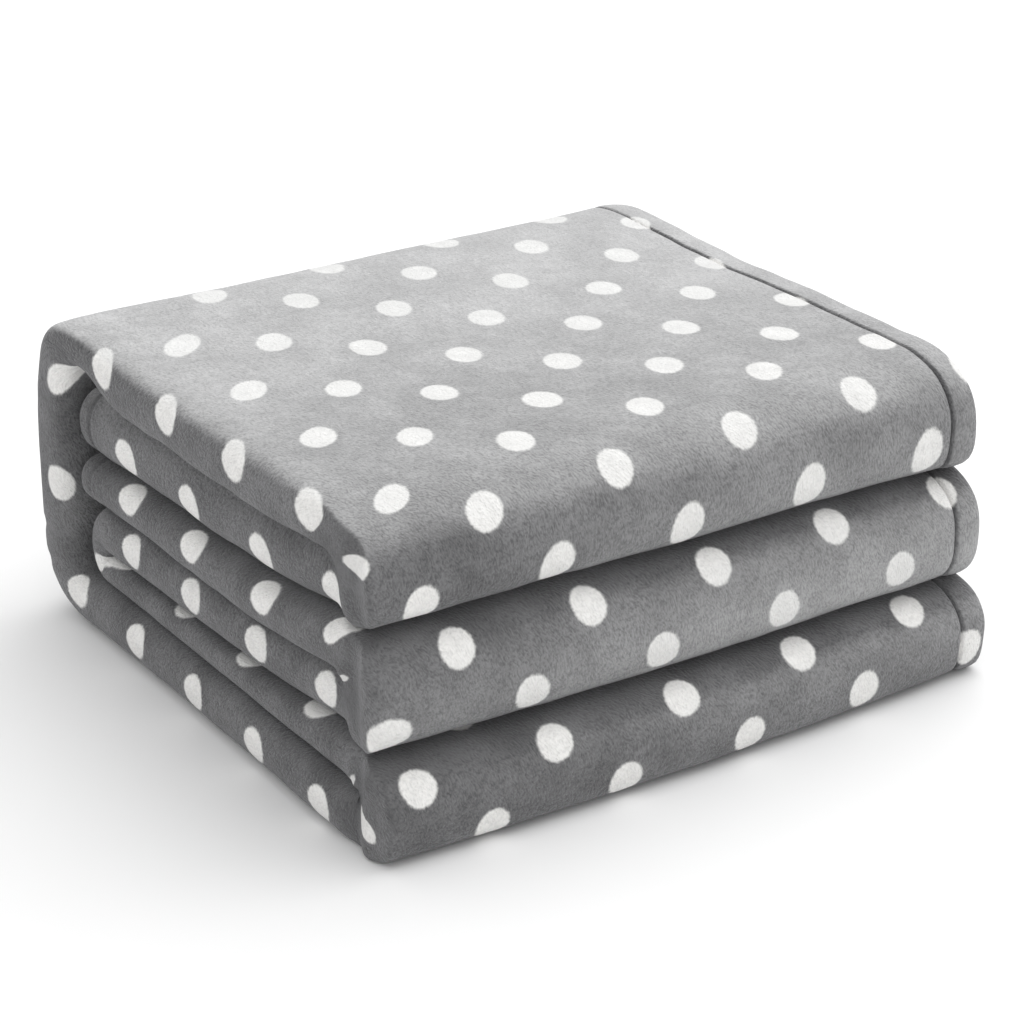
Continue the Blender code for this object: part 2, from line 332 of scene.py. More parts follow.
def strip_section():
    """For each row and each sample, the X and height share of the strip's two faces."""
    thick = np.linalg.norm(PRINTED - PLAIN, axis=1)[:, None]
    left = (LEFT + EDGE_SHIFT)[:, None]
    outer_depth = thick / 2 * PRINTED_ROUND[:, None]
    under_depth = thick / 2 * PLAIN_ROUND[:, None]
    power = SQUARE[:, None]
    ones = np.ones_like(thick)
    columns = []

    def add(printed_x, printed_share, plain_x, plain_share):
        columns.append([ones * part for part in (printed_x, printed_share, plain_x, plain_share)])

    def add_listed(points):
        away, first, second = (np.array(part)[None, :] for part in zip(*points))
        add(RIGHT - away * MM, first, RIGHT - away * MM, second)

    def add_run(start, end, first, second, samples, ends=(False, False)):
        share = np.linspace(0, 1, samples)[None, 1 - ends[0] : samples - 1 + ends[1]]
        x = mix(start, end, share)
        add(x, first, x, second)

    inner_left = left + thick * INNER_LEFT * PLY
    add_listed(OUTER_HEM)
    add_run(RIGHT - HEM_START, left + outer_depth, 1.0, 0.75 + TIGHT, FACE_SAMPLES, (True, False))
    turn = np.linspace(np.pi / 2, 3 * np.pi / 2, TURN_SAMPLES)[None, :]
    across, up = np.abs(np.cos(turn)) ** power, np.sign(np.sin(turn)) * np.abs(np.sin(turn)) ** power
    depth = np.where(up >= 0, outer_depth, under_depth)
    hollow = np.maximum(depth - thick * PLY, 0)
    add(left + depth * (1 - across), 0.5 + up / 2,
        left + thick * PLY + hollow * (1 - across), 0.5 + up * (0.25 + TIGHT))
    add_run(left + under_depth, RIGHT - HEM_START, 0.0, 0.25 - TIGHT, HIDDEN_SAMPLES, (False, True))
    add_listed(LOWER_RETURN)
    turn = np.linspace(-np.pi / 2, np.pi / 2, SMALL_TURN_SAMPLES)[None, :]
    end = RIGHT - RETURN_END
    add(end + RETURN_BULGE * np.cos(turn), RETURN_HEIGHT + 0.162 * np.sin(turn),
        end + SHUT * np.cos(turn), RETURN_HEIGHT + TIGHT * np.sin(turn))
    add_listed(UPPER_RETURN)
    add_run(RIGHT - HEM_START, inner_left, 0.5 - TIGHT, 0.25 + TIGHT, HIDDEN_SAMPLES)
    add(inner_left - SHUT * np.cos(turn), 0.5 + TIGHT * np.sin(turn),
        inner_left - thick * PLY * np.cos(turn), 0.5 + (0.25 - TIGHT) * np.sin(turn))
    add_run(inner_left, RIGHT - HEM_START, 0.5 + TIGHT, 0.75 - TIGHT, HIDDEN_SAMPLES)
    add_listed(INNER_HEM)
    columns = [np.broadcast_arrays(*column) for column in columns]
    return [np.concatenate([column[k] for column in columns], 1) for k in range(4)]


LIP = 3 * MM  # how far in from a free end its edge rounds over
LIP_THICKNESS = 0.12  # what is left of the plies' thickness at the very edge
END_SEAM, END_SEAM_WIDTH, END_SEAM_DEPTH = 10.4 * MM, 1.6 * MM, 0.35  # an end hem's stitched groove


def faces_of_strip():
    """Points of the printed face and of the plain face, rows by samples by three."""
    printed_x, printed_share, plain_x, plain_share = strip_section()
    points = []
    for x, share in ((printed_x, printed_share), (plain_x, plain_share)):
        place = mix(PLAIN[:, None, :], PRINTED[:, None, :], share[:, :, None])
        points.append(np.concatenate([x[:, :, None], place], 2))
    middle = (points[0] + points[1]) / 2
    along = np.concatenate([[0], np.cumsum(np.linalg.norm(np.diff(PRINTED, axis=0), axis=1))])
    for distance in (along, along[-1] - along):
        lip = np.sqrt(1 - (1 - np.clip(distance / LIP, 0, 1)) ** 2)
        groove = END_SEAM_DEPTH * bump(distance, END_SEAM, END_SEAM_WIDTH)
        full = np.clip(lip, LIP_THICKNESS, 1) * (1 - groove)
        points = [middle + (face - middle) * full[:, None, None] for face in points]
    return points


PRINTED_FACE, PLAIN_FACE = faces_of_strip()

# The cloth's print: an even lattice of white dots on its outer face. The dots are placed by the
# cloth's own coordinates, in metres across and along it, so they run on round the folds. Pressed
# and pulled into place, the print has slipped a little from length to length.

SLIP_START = 0.060  # how far left of the middle the top length's print begins to slip
SLIP_REACH, SLIP_GROWTH = 0.098, 1.8
ACROSS_SLIP, ALONG_SLIP = 0.007, 0.036  # how far it has slipped at the left end
PAST_HEM = 5  # how many samples past the hem the face lies flat
FACE_BLEND = {"fold": 5, "flat": 14}  # samples in which the face's slips give way to the end's
PRINT_SLIP = {  # how far the print has slipped by each length's start and end, in millimetres:
    # across and along the face, the tilt of its rows, and across and along the left end
    "second": ((12, 14), (4, 4), (0, -3), (14, 4), (-4, 11)),
    "top_fold": ((14, 4), (4, 2), (-3, -2), (10, 2), (9, 3)),
    "top": ((3, -2), (2, 1), (-2, -3), (2, 2), (-2, 8)),
    "upper_bend": ((-2, -2), (1, 1), (-3, 0), (-2, -5), (6, 3)),
    "spine": ((-2, -4), (1, 0), (0, 0), (-4, 6), (6, 14)),
    "lower_bend": ((-4, -6), (0, 0), (0, 0), (5, -8), (8, -14)),
    "bottom": ((-6, -10), (0, 16), (0, -4), (-9, -17), (-19, 14)),
    "bottom_fold": ((-10, -11), (18, 27), (-4, -8), (-12, -10), (21, 33)),
    "fifth": ((-11, -6), (27, 24), (-8, 0), (-6, -6), (20, 38)),
    "inner_fold": ((-6, -4), (24, 20), (0, 0), (2, 12), (30, 0)),
    "fourth": ((-4, -4), (20, 21), (0, -4), (16, 9), (-8, 19)),
    "middle_fold": ((-5, -2), (22, 27), (-4, -4), (-1, 0), (26, 31)),
    "third": ((-2, 0), (27, 30), (-4, 0), (5, 6), (30, 36)),
}


def cloth_coordinates():
    """The distance across and along the cloth of every point of its printed face."""
    steps = np.linalg.norm(np.diff(PRINTED_FACE, axis=1), axis=2)
    across = -np.concatenate([np.zeros((len(steps), 1)), np.cumsum(steps, 1)], 1)
    flat = len(OUTER_HEM) + PAST_HEM
    across += (PRINTED_FACE[:, flat, 0] - across[:, flat])[:, None]
    gaps = np.linalg.norm(np.diff(PRINTED, axis=0), axis=1)
    along = np.concatenate([[0], np.cumsum(gaps)])
    first = SPAN["top"][0]
    along += PRINTED[first, 0] - along[first]
    along = np.broadcast_to(along[:, None], across.shape).copy()
    slip = np.clip((-across - SLIP_START) / SLIP_REACH, 0, 1) ** SLIP_GROWTH
    slip = slip * smooth(along, -0.16, -0.10) * (1 - smooth(along, 0.11, 0.17))
    first_turned = len(OUTER_HEM) + FACE_SAMPLES - 2
    blends = {name: FACE_BLEND["fold" if name.endswith("_fold") else "flat"] for name in SPAN}
    blended = along_rows({name: (samples, samples) for name, samples in blends.items()})[:, None]
    end = smooth((np.arange(across.shape[1])[None, :] - first_turned) / blended, -1, 0)
    face = 1 - end
    tilt = np.clip(across / RIGHT, -1, 1)
    face_across, face_along, face_tilt, end_across, end_along = (
        along_rows({name: PRINT_SLIP[name][k] for name in SPAN})[:, None] * MM for k in range(5))
    across_slip = ACROSS_SLIP * slip + face * face_across + end * end_across
    along_slip = ALONG_SLIP * slip + face * (face_along + tilt * face_tilt) + end * end_along
    return across + across_slip, along + along_slip


ACROSS, ALONG = cloth_coordinates()

# The cloth's softness. Fleece has no hard edge anywhere: the front folds swell, the top is a low
# pillow, the left front corners are pinched, the spine is faintly wrinkled across, and the nap
# makes a finer unevenness on all of it.

LATTICE_SIZE = 48
LATTICE = np.random.RandomState(7).uniform(-1, 1, (LATTICE_SIZE, LATTICE_SIZE, LATTICE_SIZE, 3))
FRONT_SWELL = 0.0045
CORNER_RIDGE = {"height": 0.0014, "y": FRONT + 0.010, "reach": 0.007}
CORNER_GROOVE = {"depth": 0.0020, "y": FRONT + 0.021, "reach": 0.009}
WRINKLE_HEIGHTS = (0.043, 0.026)
WRINKLE_REACH = 0.006
WRINKLE_INWARDS, WRINKLE_FORWARDS = 0.0007, 0.0005
PILLOW, BACK_PILLOW, RIM_DROP, RIGHT_PILLOW = 0.0035, 0.0030, 0.0010, 0.0025
UNEVENNESS = ((0.075, 0.0010), (0.030, 0.0005), (0.012, 0.0003))  # its sizes and its heights


def soft_noise(points, scale):
    """A smooth random vector for each point, which changes over about scale metres."""
    place = points / scale + 100.0
    cell = np.floor(place).astype(int)
    share = place - cell
    share = share * share * (3 - 2 * share)
    total = np.zeros(points.shape)
    for corner in np.ndindex(2, 2, 2):
        weight = np.prod(np.where(np.array(corner), share, 1 - share), axis=-1)
        index = (cell + np.array(corner)) % LATTICE_SIZE
        total += weight[..., None] * LATTICE[index[..., 0], index[..., 1], index[..., 2]]
    return total


def soften(points):
    """The points of a face, moved out of their even places. The underside stays on the floor."""
    x, y, z = (points[..., k] for k in range(3))
    moved = points.copy()
    inset = np.abs(x) / RIGHT
    front = smooth(-y, 0.07, 0.14) * smooth(-z, -0.10, -0.03)
    moved[..., 1] -= FRONT_SWELL * front * (1 - inset**2)
    left_rim = smooth(-x, 0.135, 0.157)
    ridge = CORNER_RIDGE["height"] * bump(y, CORNER_RIDGE["y"], CORNER_RIDGE["reach"])
    groove = CORNER_GROOVE["depth"] * bump(y, CORNER_GROOVE["y"], CORNER_GROOVE["reach"])
    moved[..., 0] -= left_rim * (ridge - groove)
    wrinkles = sum(bump(z, height, WRINKLE_REACH) for height in WRINKLE_HEIGHTS)
    wrinkles = wrinkles * smooth(-x, 0.115, 0.150) * smooth(y, 0.117, 0.127)
    moved[..., 0] += WRINKLE_INWARDS * wrinkles
    moved[..., 1] -= WRINKLE_FORWARDS * wrinkles
    pillow = PILLOW + BACK_PILLOW * smooth(y, 0.02, 0.13) - RIM_DROP * smooth(inset, 0.9, 1)
    pillow = pillow + RIGHT_PILLOW * smooth(x, 0.0, 0.15) * smooth(-y, -0.08, 0.02)
    moved[..., 2] += smooth(z, 0.10, HEIGHT) * pillow
    off_floor = smooth(z, 0.0, 0.012)
    for scale, amount in UNEVENNESS:
        shift = soft_noise(points, scale) * amount
        shift[..., 2] *= off_floor
        moved += shift
    moved[..., 2] = np.maximum(moved[..., 2], 0.0)
    return moved


PRINTED_FACE = soften(PRINTED_FACE)
PLAIN_FACE = soften(PLAIN_FACE)

# The cloth's meshes. Each stretch of the route is one closed sheet of thick cloth, four plies deep,
# whose ends meet its neighbours' ends. Each point carries a painted light share: painted light on
# top and on the front folds' right side, and painted shade in the creases and left front corners.


def ring_of(first, last):
    """Printed face forwards and plain face backwards, for rows first to last."""
    return np.concatenate([PRINTED_FACE[first : last + 1], PLAIN_FACE[first : last + 1, ::-1]], 1)


def row_normals():
    """A normal for each point of the whole run, so that pieces meet without a shading seam."""
    ring = ring_of(0, len(PRINTED_FACE) - 1)
    along = np.gradient(ring, axis=0)
    across = np.roll(ring, -1, axis=1) - np.roll(ring, 1, axis=1)
    normal = np.cross(along, across)
    return normal / np.maximum(np.linalg.norm(normal, axis=2), 1e-12)[..., None]


NORMALS = row_normals()


TOP_PAINTED_LIGHT = 0.62  # painted light on the top, at its front
# painted light, lighter towards the back and towards the right
LIGHTER_AT_BACK, LIGHTER_AT_RIGHT = 0.38, 0.14
FRONT_PAINTED_LIGHT = 0.42  # painted light on the front folds
# painted light, lighter on the middle fold
LIGHTER_AT_MIDDLE_FOLD = 0.22
CREASE_PAINTED_SHADE = 0.40  # painted shade in creases and corners


def painted_light_of(points, normals):
    """Painted light at each point, from how it faces: 1 painted lit, 0 painted shaded, and below 0
    painted crease shade.
    """
    x, y, z = points.T
    up = normals[:, 2]
    summit = smooth(z, 0.100, 0.130)
    # Painted light on the top's upward faces, lighter towards the back and the right.
    painted_lit = summit * smooth(up, 0.42, 1.0) * (TOP_PAINTED_LIGHT + LIGHTER_AT_BACK * smooth(y, -0.13, 0.12))
    painted_lit *= 1 + LIGHTER_AT_RIGHT * smooth(x, -0.06, 0.10)
    # Painted light on the front folds, lighter towards the right.
    facing = smooth(-normals[:, 1], 0.2, 0.8) * (1 - painted_lit)
    lit = smooth(x, -0.17, 0.08) * smooth(z, -0.02, 0.06) * (1 - 0.3 * summit)
    painted_lit += facing * (FRONT_PAINTED_LIGHT * lit + LIGHTER_AT_MIDDLE_FOLD * bump(z, 0.058, 0.030))
    # Painted shade in the creases and at the left front corners.
    front_rim = smooth(-y, -FRONT - 0.040, -FRONT - 0.015)
    left_rim = smooth(-x, -LEFT - 0.020, -LEFT - 0.008)
    creases = np.maximum(front_rim, left_rim) * smooth(np.abs(up), 0.55, 0.98) * (1 - summit * (up > 0))
    left_edge = smooth(-x, -LEFT - 0.007, -LEFT - 0.002)
    corners = left_edge * bump(y, CORNER_GROOVE["y"], CORNER_GROOVE["reach"])
    return painted_lit - CREASE_PAINTED_SHADE * np.maximum(creases, corners)


def cloth_piece(name, first, last, material):
    """A closed mesh of the rows first to last, with the cloth's coordinates as its UV map."""
    ring = ring_of(first, last)
    rows, samples = ring.shape[:2]
    across = np.concatenate([ACROSS[first : last + 1], ACROSS[first : last + 1, ::-1]], 1)
    along = np.concatenate([ALONG[first : last + 1], ALONG[first : last + 1, ::-1]], 1)
    index = np.arange(rows * samples).reshape(rows, samples)
    beside = np.roll(index, -1, axis=1)
    sides = np.stack([index[:-1], index[1:], beside[1:], beside[:-1]], -1).reshape(-1, 4)
    half = samples // 2
    low = np.arange(half - 1)
    start_cap = np.stack([low, low + 1, samples - 2 - low, samples - 1 - low], 1)
    end_cap = start_cap[:, ::-1] + (rows - 1) * samples
    quads = np.concatenate([sides, start_cap, end_cap])
    mesh = bpy.data.meshes.new(name)
    mesh.vertices.add(rows * samples)
    mesh.vertices.foreach_set("co", ring.astype(np.float32).ravel())
    mesh.loops.add(len(quads) * 4)
    mesh.loops.foreach_set("vertex_index", quads.ravel().astype(np.int32))
    mesh.polygons.add(len(quads))
    mesh.polygons.foreach_set("loop_start", np.arange(0, len(quads) * 4, 4, dtype=np.int32))
    layer = mesh.uv_layers.new(name="cloth")
    coordinates = np.stack([across, along], -1).reshape(-1, 2)[quads.ravel()]
    layer.data.foreach_set("uv", coordinates.astype(np.float32).ravel())
    mesh.update()
    mesh.validate()
    mesh.shade_smooth()
    normals = NORMALS[first : last + 1].reshape(-1, 3)
    mesh.normals_split_custom_set_from_vertices(normals.astype(np.float32).tolist())
    # The painted light share of each point: painted light and painted shade for the material.
    painted_light = mesh.attributes.new("painted_light", "FLOAT", "POINT")
    painted_light.data.foreach_set("value", painted_light_of(ring.reshape(-1, 3), normals).astype(np.float32))
    mesh.materials.append(material)
    piece = bpy.data.objects.new(name, mesh)
    bpy.context.scene.collection.objects.link(piece)
    return piece


def declare(piece, first, last, nodes):
    """Hides the frame's solids that the piece stands for; piece, first and last are not used."""
    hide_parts(*nodes)


# The fleece: grey polyester with a short brushed pile on both faces and white dots printed on one.
# The pile lies in soft strokes and tufts, dark between them. Its greys and whites are painted lighter on
# top and painted darker in the creases.


def new_group(name, inputs, outputs):
    """An empty shader node group with the named inputs and outputs."""
    group = bpy.data.node_groups.new(name, "ShaderNodeTree")
    for label, kind, value in inputs:
        socket = group.interface.new_socket(label, in_out="INPUT", socket_type="NodeSocket" + kind)
        if value is not None:
            socket.default_value = value
    for label, kind in outputs:
        group.interface.new_socket(label, in_out="OUTPUT", socket_type="NodeSocket" + kind)
    start = group.nodes.new("NodeGroupInput")
    end = group.nodes.new("NodeGroupOutput")
    return group, start, end


def wire(tree, value, socket):
    """A link where value is a socket, and otherwise a fixed value."""
    if isinstance(value, bpy.types.NodeSocket):
        tree.links.new(value, socket)
    else:
        socket.default_value = value


def calculate(tree, operation, *values, clamp=False):
    """The result of a sum on numbers or number sockets."""
    node = tree.nodes.new("ShaderNodeMath")
    node.operation = operation
    node.use_clamp = clamp
    for value, socket in zip(values, node.inputs):
        wire(tree, value, socket)
    return node.outputs[0]


def grade(tree, value, low, high, low_result=0.0, high_result=1.0):
    """Value from low to high, turned softly into low_result to high_result."""
    node = tree.nodes.new("ShaderNodeMapRange")
    node.interpolation_type = "SMOOTHSTEP"
    for part, socket in zip((value, low, high, low_result, high_result), node.inputs):
        wire(tree, part, socket)
    return node.outputs[0]


def unevenness(tree, place, size, detail=2.0, rough=0.5, twist=0.0):
    """Noise of about one change to each size, in metres."""
    node = tree.nodes.new("ShaderNodeTexNoise")
    wire(tree, place, node.inputs["Vector"])
    node.inputs["Scale"].default_value = 1 / size
    node.inputs["Detail"].default_value = detail
    node.inputs["Roughness"].default_value = rough
    node.inputs["Distortion"].default_value = twist
    return node.outputs["Fac"]


def blend_colours(tree, share, first, second):
    """The first colour at a share of 0, and the second at 1."""
    node = tree.nodes.new("ShaderNodeMix")
    node.data_type = "RGBA"
    for value, label in ((share, 0), (first, 6), (second, 7)):
        wire(tree, value, node.inputs[label])
    return node.outputs[2]


LAY_SIZE, LAY_SHIFT = 0.016, 0.0012  # how far apart the nap changes its lie, and how far it sways
STROKE_SLANT = 0.35
CLUMP_SIZE, GRAIN_SIZE, PATCH_SIZE = 0.0045, 0.0013, 0.031


def make_pile():
    """Short brushed pile: strokes that follow the nap, tufts, and wide patches lying each way."""
    group, start, end = new_group(
        "brushed pile",
        [("Cloth", "Vector", None), ("Place", "Vector", None),
         ("Stroke Length", "Float", 0.0022), ("Stroke Width", "Float", 0.00095)],
        [("Height", "Float"), ("Tufts", "Float"), ("Patches", "Float")],
    )
    place = start.outputs["Place"]
    lay = grade(group, unevenness(group, place, LAY_SIZE, 1.0), 0.3, 0.7, -1.0, 1.0)
    parts = group.nodes.new("ShaderNodeSeparateXYZ")
    group.links.new(start.outputs["Cloth"], parts.inputs[0])
    across = calculate(group, "MULTIPLY_ADD", lay, LAY_SHIFT, parts.outputs[0])
    across = calculate(group, "MULTIPLY_ADD", parts.outputs[1], STROKE_SLANT, across)
    along = calculate(group, "MULTIPLY_ADD", lay, LAY_SHIFT, parts.outputs[1])
    strokes = group.nodes.new("ShaderNodeCombineXYZ")
    group.links.new(calculate(group, "DIVIDE", across, start.outputs["Stroke Width"]), strokes.inputs[0])
    group.links.new(calculate(group, "DIVIDE", along, start.outputs["Stroke Length"]), strokes.inputs[1])
    fine = unevenness(group, strokes.outputs[0], 1.0, 3.0, 0.6, 0.3)
    clumps = unevenness(group, place, CLUMP_SIZE, 2.0, 0.6)
    grain = unevenness(group, place, GRAIN_SIZE, 1.0, 0.5)
    patches = unevenness(group, place, PATCH_SIZE, 3.0, 0.55)
    height = calculate(group, "MULTIPLY_ADD", clumps, 0.45, calculate(group, "MULTIPLY", fine, 1.1))
    height = calculate(group, "MULTIPLY_ADD", grain, 0.55, height)
    group.links.new(height, end.inputs["Height"])
    group.links.new(grade(group, height, 0.75, 1.25), end.inputs["Tufts"])
    group.links.new(grade(group, patches, 0.32, 0.68), end.inputs["Patches"])
    return group


RAGGEDNESS = 0.0012  # how far a dot's edge wanders


def make_dots():
    """Round dots on a lattice, each in the middle of four others, with edges as rough as pile."""
    group, start, end = new_group(
        "printed dots",
        [("Cloth", "Vector", None), ("Pitch Across", "Float", 0.065), ("Pitch Along", "Float", 0.0626),
         ("Dot Radius", "Float", 0.0082), ("Dot Stretch", "Float", 1.15), ("Edge", "Float", 0.0009),
         ("Rough", "Float", 0.5)],
        [("Dots", "Float")],
    )
    parts = group.nodes.new("ShaderNodeSeparateXYZ")
    group.links.new(start.outputs["Cloth"], parts.inputs[0])
    distances = []
    for offset in (0.0, 0.5):
        squares = []
        for axis, pitch in ((0, "Pitch Across"), (1, "Pitch Along")):
            count = calculate(group, "DIVIDE", parts.outputs[axis], start.outputs[pitch])
            count = calculate(group, "ADD", count, 0.5 - offset)
            share = calculate(group, "SUBTRACT", calculate(group, "FRACT", count), 0.5)
            away = calculate(group, "MULTIPLY", share, start.outputs[pitch])
            if axis == 1:
                away = calculate(group, "DIVIDE", away, start.outputs["Dot Stretch"])
            squares.append(calculate(group, "MULTIPLY", away, away))
        distances.append(calculate(group, "SQRT", calculate(group, "ADD", *squares)))
    nearest = calculate(group, "MINIMUM", *distances)
    ragged = calculate(group, "SUBTRACT", start.outputs["Rough"], 0.5)
    nearest = calculate(group, "MULTIPLY_ADD", ragged, RAGGEDNESS, nearest)
    rim = calculate(group, "ADD", start.outputs["Dot Radius"], start.outputs["Edge"])
    core = calculate(group, "SUBTRACT", start.outputs["Dot Radius"], start.outputs["Edge"])
    group.links.new(grade(group, nearest, core, rim, 1.0, 0.0), end.inputs["Dots"])
    return group


PILE = make_pile()
DOTS = make_dots()
FIRST_DOT = (-0.0545, -0.029, 0.0)  # a dot's middle, in the cloth's coordinates
# Shaded and lit copies of the grey, painted shade and painted light, blended by the painted light share.
SHADED_GREYS = ((0.132, 0.132, 0.135, 1), (0.195, 0.195, 0.199, 1))
LIT_GREYS = ((0.475, 0.475, 0.477, 1), (0.555, 0.555, 0.557, 1))
SHADED_AND_LIT_WHITES = ((0.94, 0.93, 0.91, 1), (0.78, 0.78, 0.77, 1))  # painted shaded and painted lit
PILE_AND_CREASE_SHADE_GREY = (0.035, 0.035, 0.037, 1)  # between the tufts, and painted shade in the creases
GREY_DEPTH, DOT_DEPTH = 0.52, 0.16  # how much of it shows in the grey and in the dots


def fleece(name):
    """Grey short-pile fleece with white dots printed on one face."""
    look = bpy.data.materials.new(name)
    look.use_nodes = True
    tree = look.node_tree
    shader = tree.nodes["Principled BSDF"]
    cloth = tree.nodes.new("ShaderNodeUVMap")
    cloth.uv_map = "cloth"
    from_first_dot = tree.nodes.new("ShaderNodeVectorMath")
    from_first_dot.operation = "SUBTRACT"
    tree.links.new(cloth.outputs[0], from_first_dot.inputs[0])
    from_first_dot.inputs[1].default_value = FIRST_DOT
    place = tree.nodes.new("ShaderNodeTexCoord").outputs["Object"]
    pile = tree.nodes.new("ShaderNodeGroup")
    pile.node_tree = PILE
    tree.links.new(cloth.outputs[0], pile.inputs["Cloth"])
    tree.links.new(place, pile.inputs["Place"])
    dots = tree.nodes.new("ShaderNodeGroup")
    dots.node_tree = DOTS
    tree.links.new(from_first_dot.outputs[0], dots.inputs["Cloth"])
    tree.links.new(unevenness(tree, place, 0.0016, 2.0), dots.inputs["Rough"])
    # The painted light share, which blends the painted shaded and painted lit copies.
    painted_light_layer = tree.nodes.new("ShaderNodeAttribute")
    painted_light_layer.attribute_name = "painted_light"
    painted_light = painted_light_layer.outputs["Fac"]
    painted_shaded = blend_colours(tree, pile.outputs["Patches"], *SHADED_GREYS)
    painted_lit = blend_colours(tree, pile.outputs["Patches"], *LIT_GREYS)
    grey = blend_colours(tree, painted_light, painted_shaded, painted_lit)
    white = blend_colours(tree, painted_light, *SHADED_AND_LIT_WHITES)
    colour = blend_colours(tree, dots.outputs["Dots"], grey, white)
    between = calculate(tree, "SUBTRACT", 1.0, pile.outputs["Tufts"])
    between = calculate(tree, "MULTIPLY", between,
                        grade(tree, dots.outputs["Dots"], 0.0, 1.0, GREY_DEPTH, DOT_DEPTH))
    # The pile's darkening between tufts is weaker where painted light falls.
    between = calculate(tree, "MULTIPLY", between, calculate(tree, "MULTIPLY_ADD", painted_light, -0.5, 1.0))
    # Painted crease shade, where the painted light share is below 0.
    painted_crease_shade = calculate(tree, "MULTIPLY", painted_light, -1.0, clamp=True)
    painted_crease_shade = calculate(tree, "MULTIPLY", painted_crease_shade, grade(tree, dots.outputs["Dots"], 0.0, 1.0, 1.0, 0.25))
    pile_and_crease_shade = calculate(tree, "MAXIMUM", between, painted_crease_shade)
    shaded = blend_colours(tree, pile_and_crease_shade, colour, PILE_AND_CREASE_SHADE_GREY)
    tree.links.new(shaded, shader.inputs["Base Color"])
    relief = tree.nodes.new("ShaderNodeBump")
    relief.inputs["Strength"].default_value = 0.75
    relief.inputs["Distance"].default_value = 0.0015
    tree.links.new(pile.outputs["Height"], relief.inputs["Height"])
    tree.links.new(relief.outputs[0], shader.inputs["Normal"])
    shader.inputs["Roughness"].default_value = 0.92
    shader.inputs["Specular IOR Level"].default_value = 0.12
    shader.inputs["Sheen Weight"].default_value = 0.35
    shader.inputs["Sheen Roughness"].default_value = 0.45
    shader.inputs["Sheen Tint"].default_value = (0.9, 0.9, 0.92, 1)
    return look


FLEECE = fleece("fleece_look")

# The lower stack: the third, fourth, fifth and bottom lengths, with the folds between them. It is
# one stretch of the cloth, pressed flat, that lies on the floor and carries the rest.

LOWER = (SPAN["bottom"][0], SPAN["third"][1])
lower_stack = cloth_piece("lower_stack_cloth", *LOWER, FLEECE)
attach(lower_stack, "lower_stack")
declare(lower_stack, *LOWER, [node for node in frame["record"]["behaviour"]["bodies"]["lower_stack"]
                              if not node.startswith("lower_back") and not node.endswith("_stitching")])

# The lower bend: the quarter turn from the bottom length up to the spine. It stays where it is
# built and follows no body.

lower_bend = cloth_piece("lower_bend_cloth", *SPAN["lower_bend"], FLEECE)
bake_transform(lower_bend)
declare(lower_bend, *SPAN["lower_bend"], ["lower_back_bend", "lower_back_bend_hem"])

# The spine: the upright stretch of the cloth that holds the back of the stack together. It stands
# on the lower bend and follows the spine's body.

spine = cloth_piece("spine_cloth", *SPAN["spine"], FLEECE)
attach(spine, "spine")
declare(spine, *SPAN["spine"], ["spine", "spine_hem"])

# The upper bend: the quarter turn from the spine over to the top length, with a hollow inside it
# behind the second length's free end. Like the lower bend, it follows no body.

upper_bend = cloth_piece("upper_bend_cloth", *SPAN["upper_bend"], FLEECE)
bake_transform(upper_bend)
declare(upper_bend, *SPAN["upper_bend"], ["upper_back_bend", "upper_back_bend_hem"])

# The upper stack: the second and top lengths and the front fold between them. It lies loose on the
# third length, so it can be thrown back over the spine.

UPPER = (SPAN["second"][0], SPAN["top"][1])
upper_stack = cloth_piece("upper_stack_cloth", *UPPER, FLEECE)
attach(upper_stack, "upper_stack")
declare(upper_stack, *UPPER, ["top_length", "top_length_hem", "second_length", "second_length_hem",
                              "second_end_hem", "top_front_fold", "top_front_fold_hem"])

# The stitches: lockstitches of grey polyester thread that hold the outer side hem down, sunk in
# the groove that they pull into the pile. Each run belongs to the stretch of cloth it is sewn in.

STITCH_PITCH = 0.0040
STITCH_LENGTH = 0.0033
THREAD_RADIUS = 0.00055
THREAD_SIDES = 6
BEADS = np.array([-1, -0.88, -0.5, 0, 0.5, 0.88, 1])  # rings along a stitch, from end to end
RISE, DROP = 0.88, 0.8  # how high a stitch's middle stands, and how far its ends sink, in radii
THREAD_GREYS = ((0.045, 0.045, 0.047, 1), (0.10, 0.10, 0.103, 1))
TWIST = 0.0006


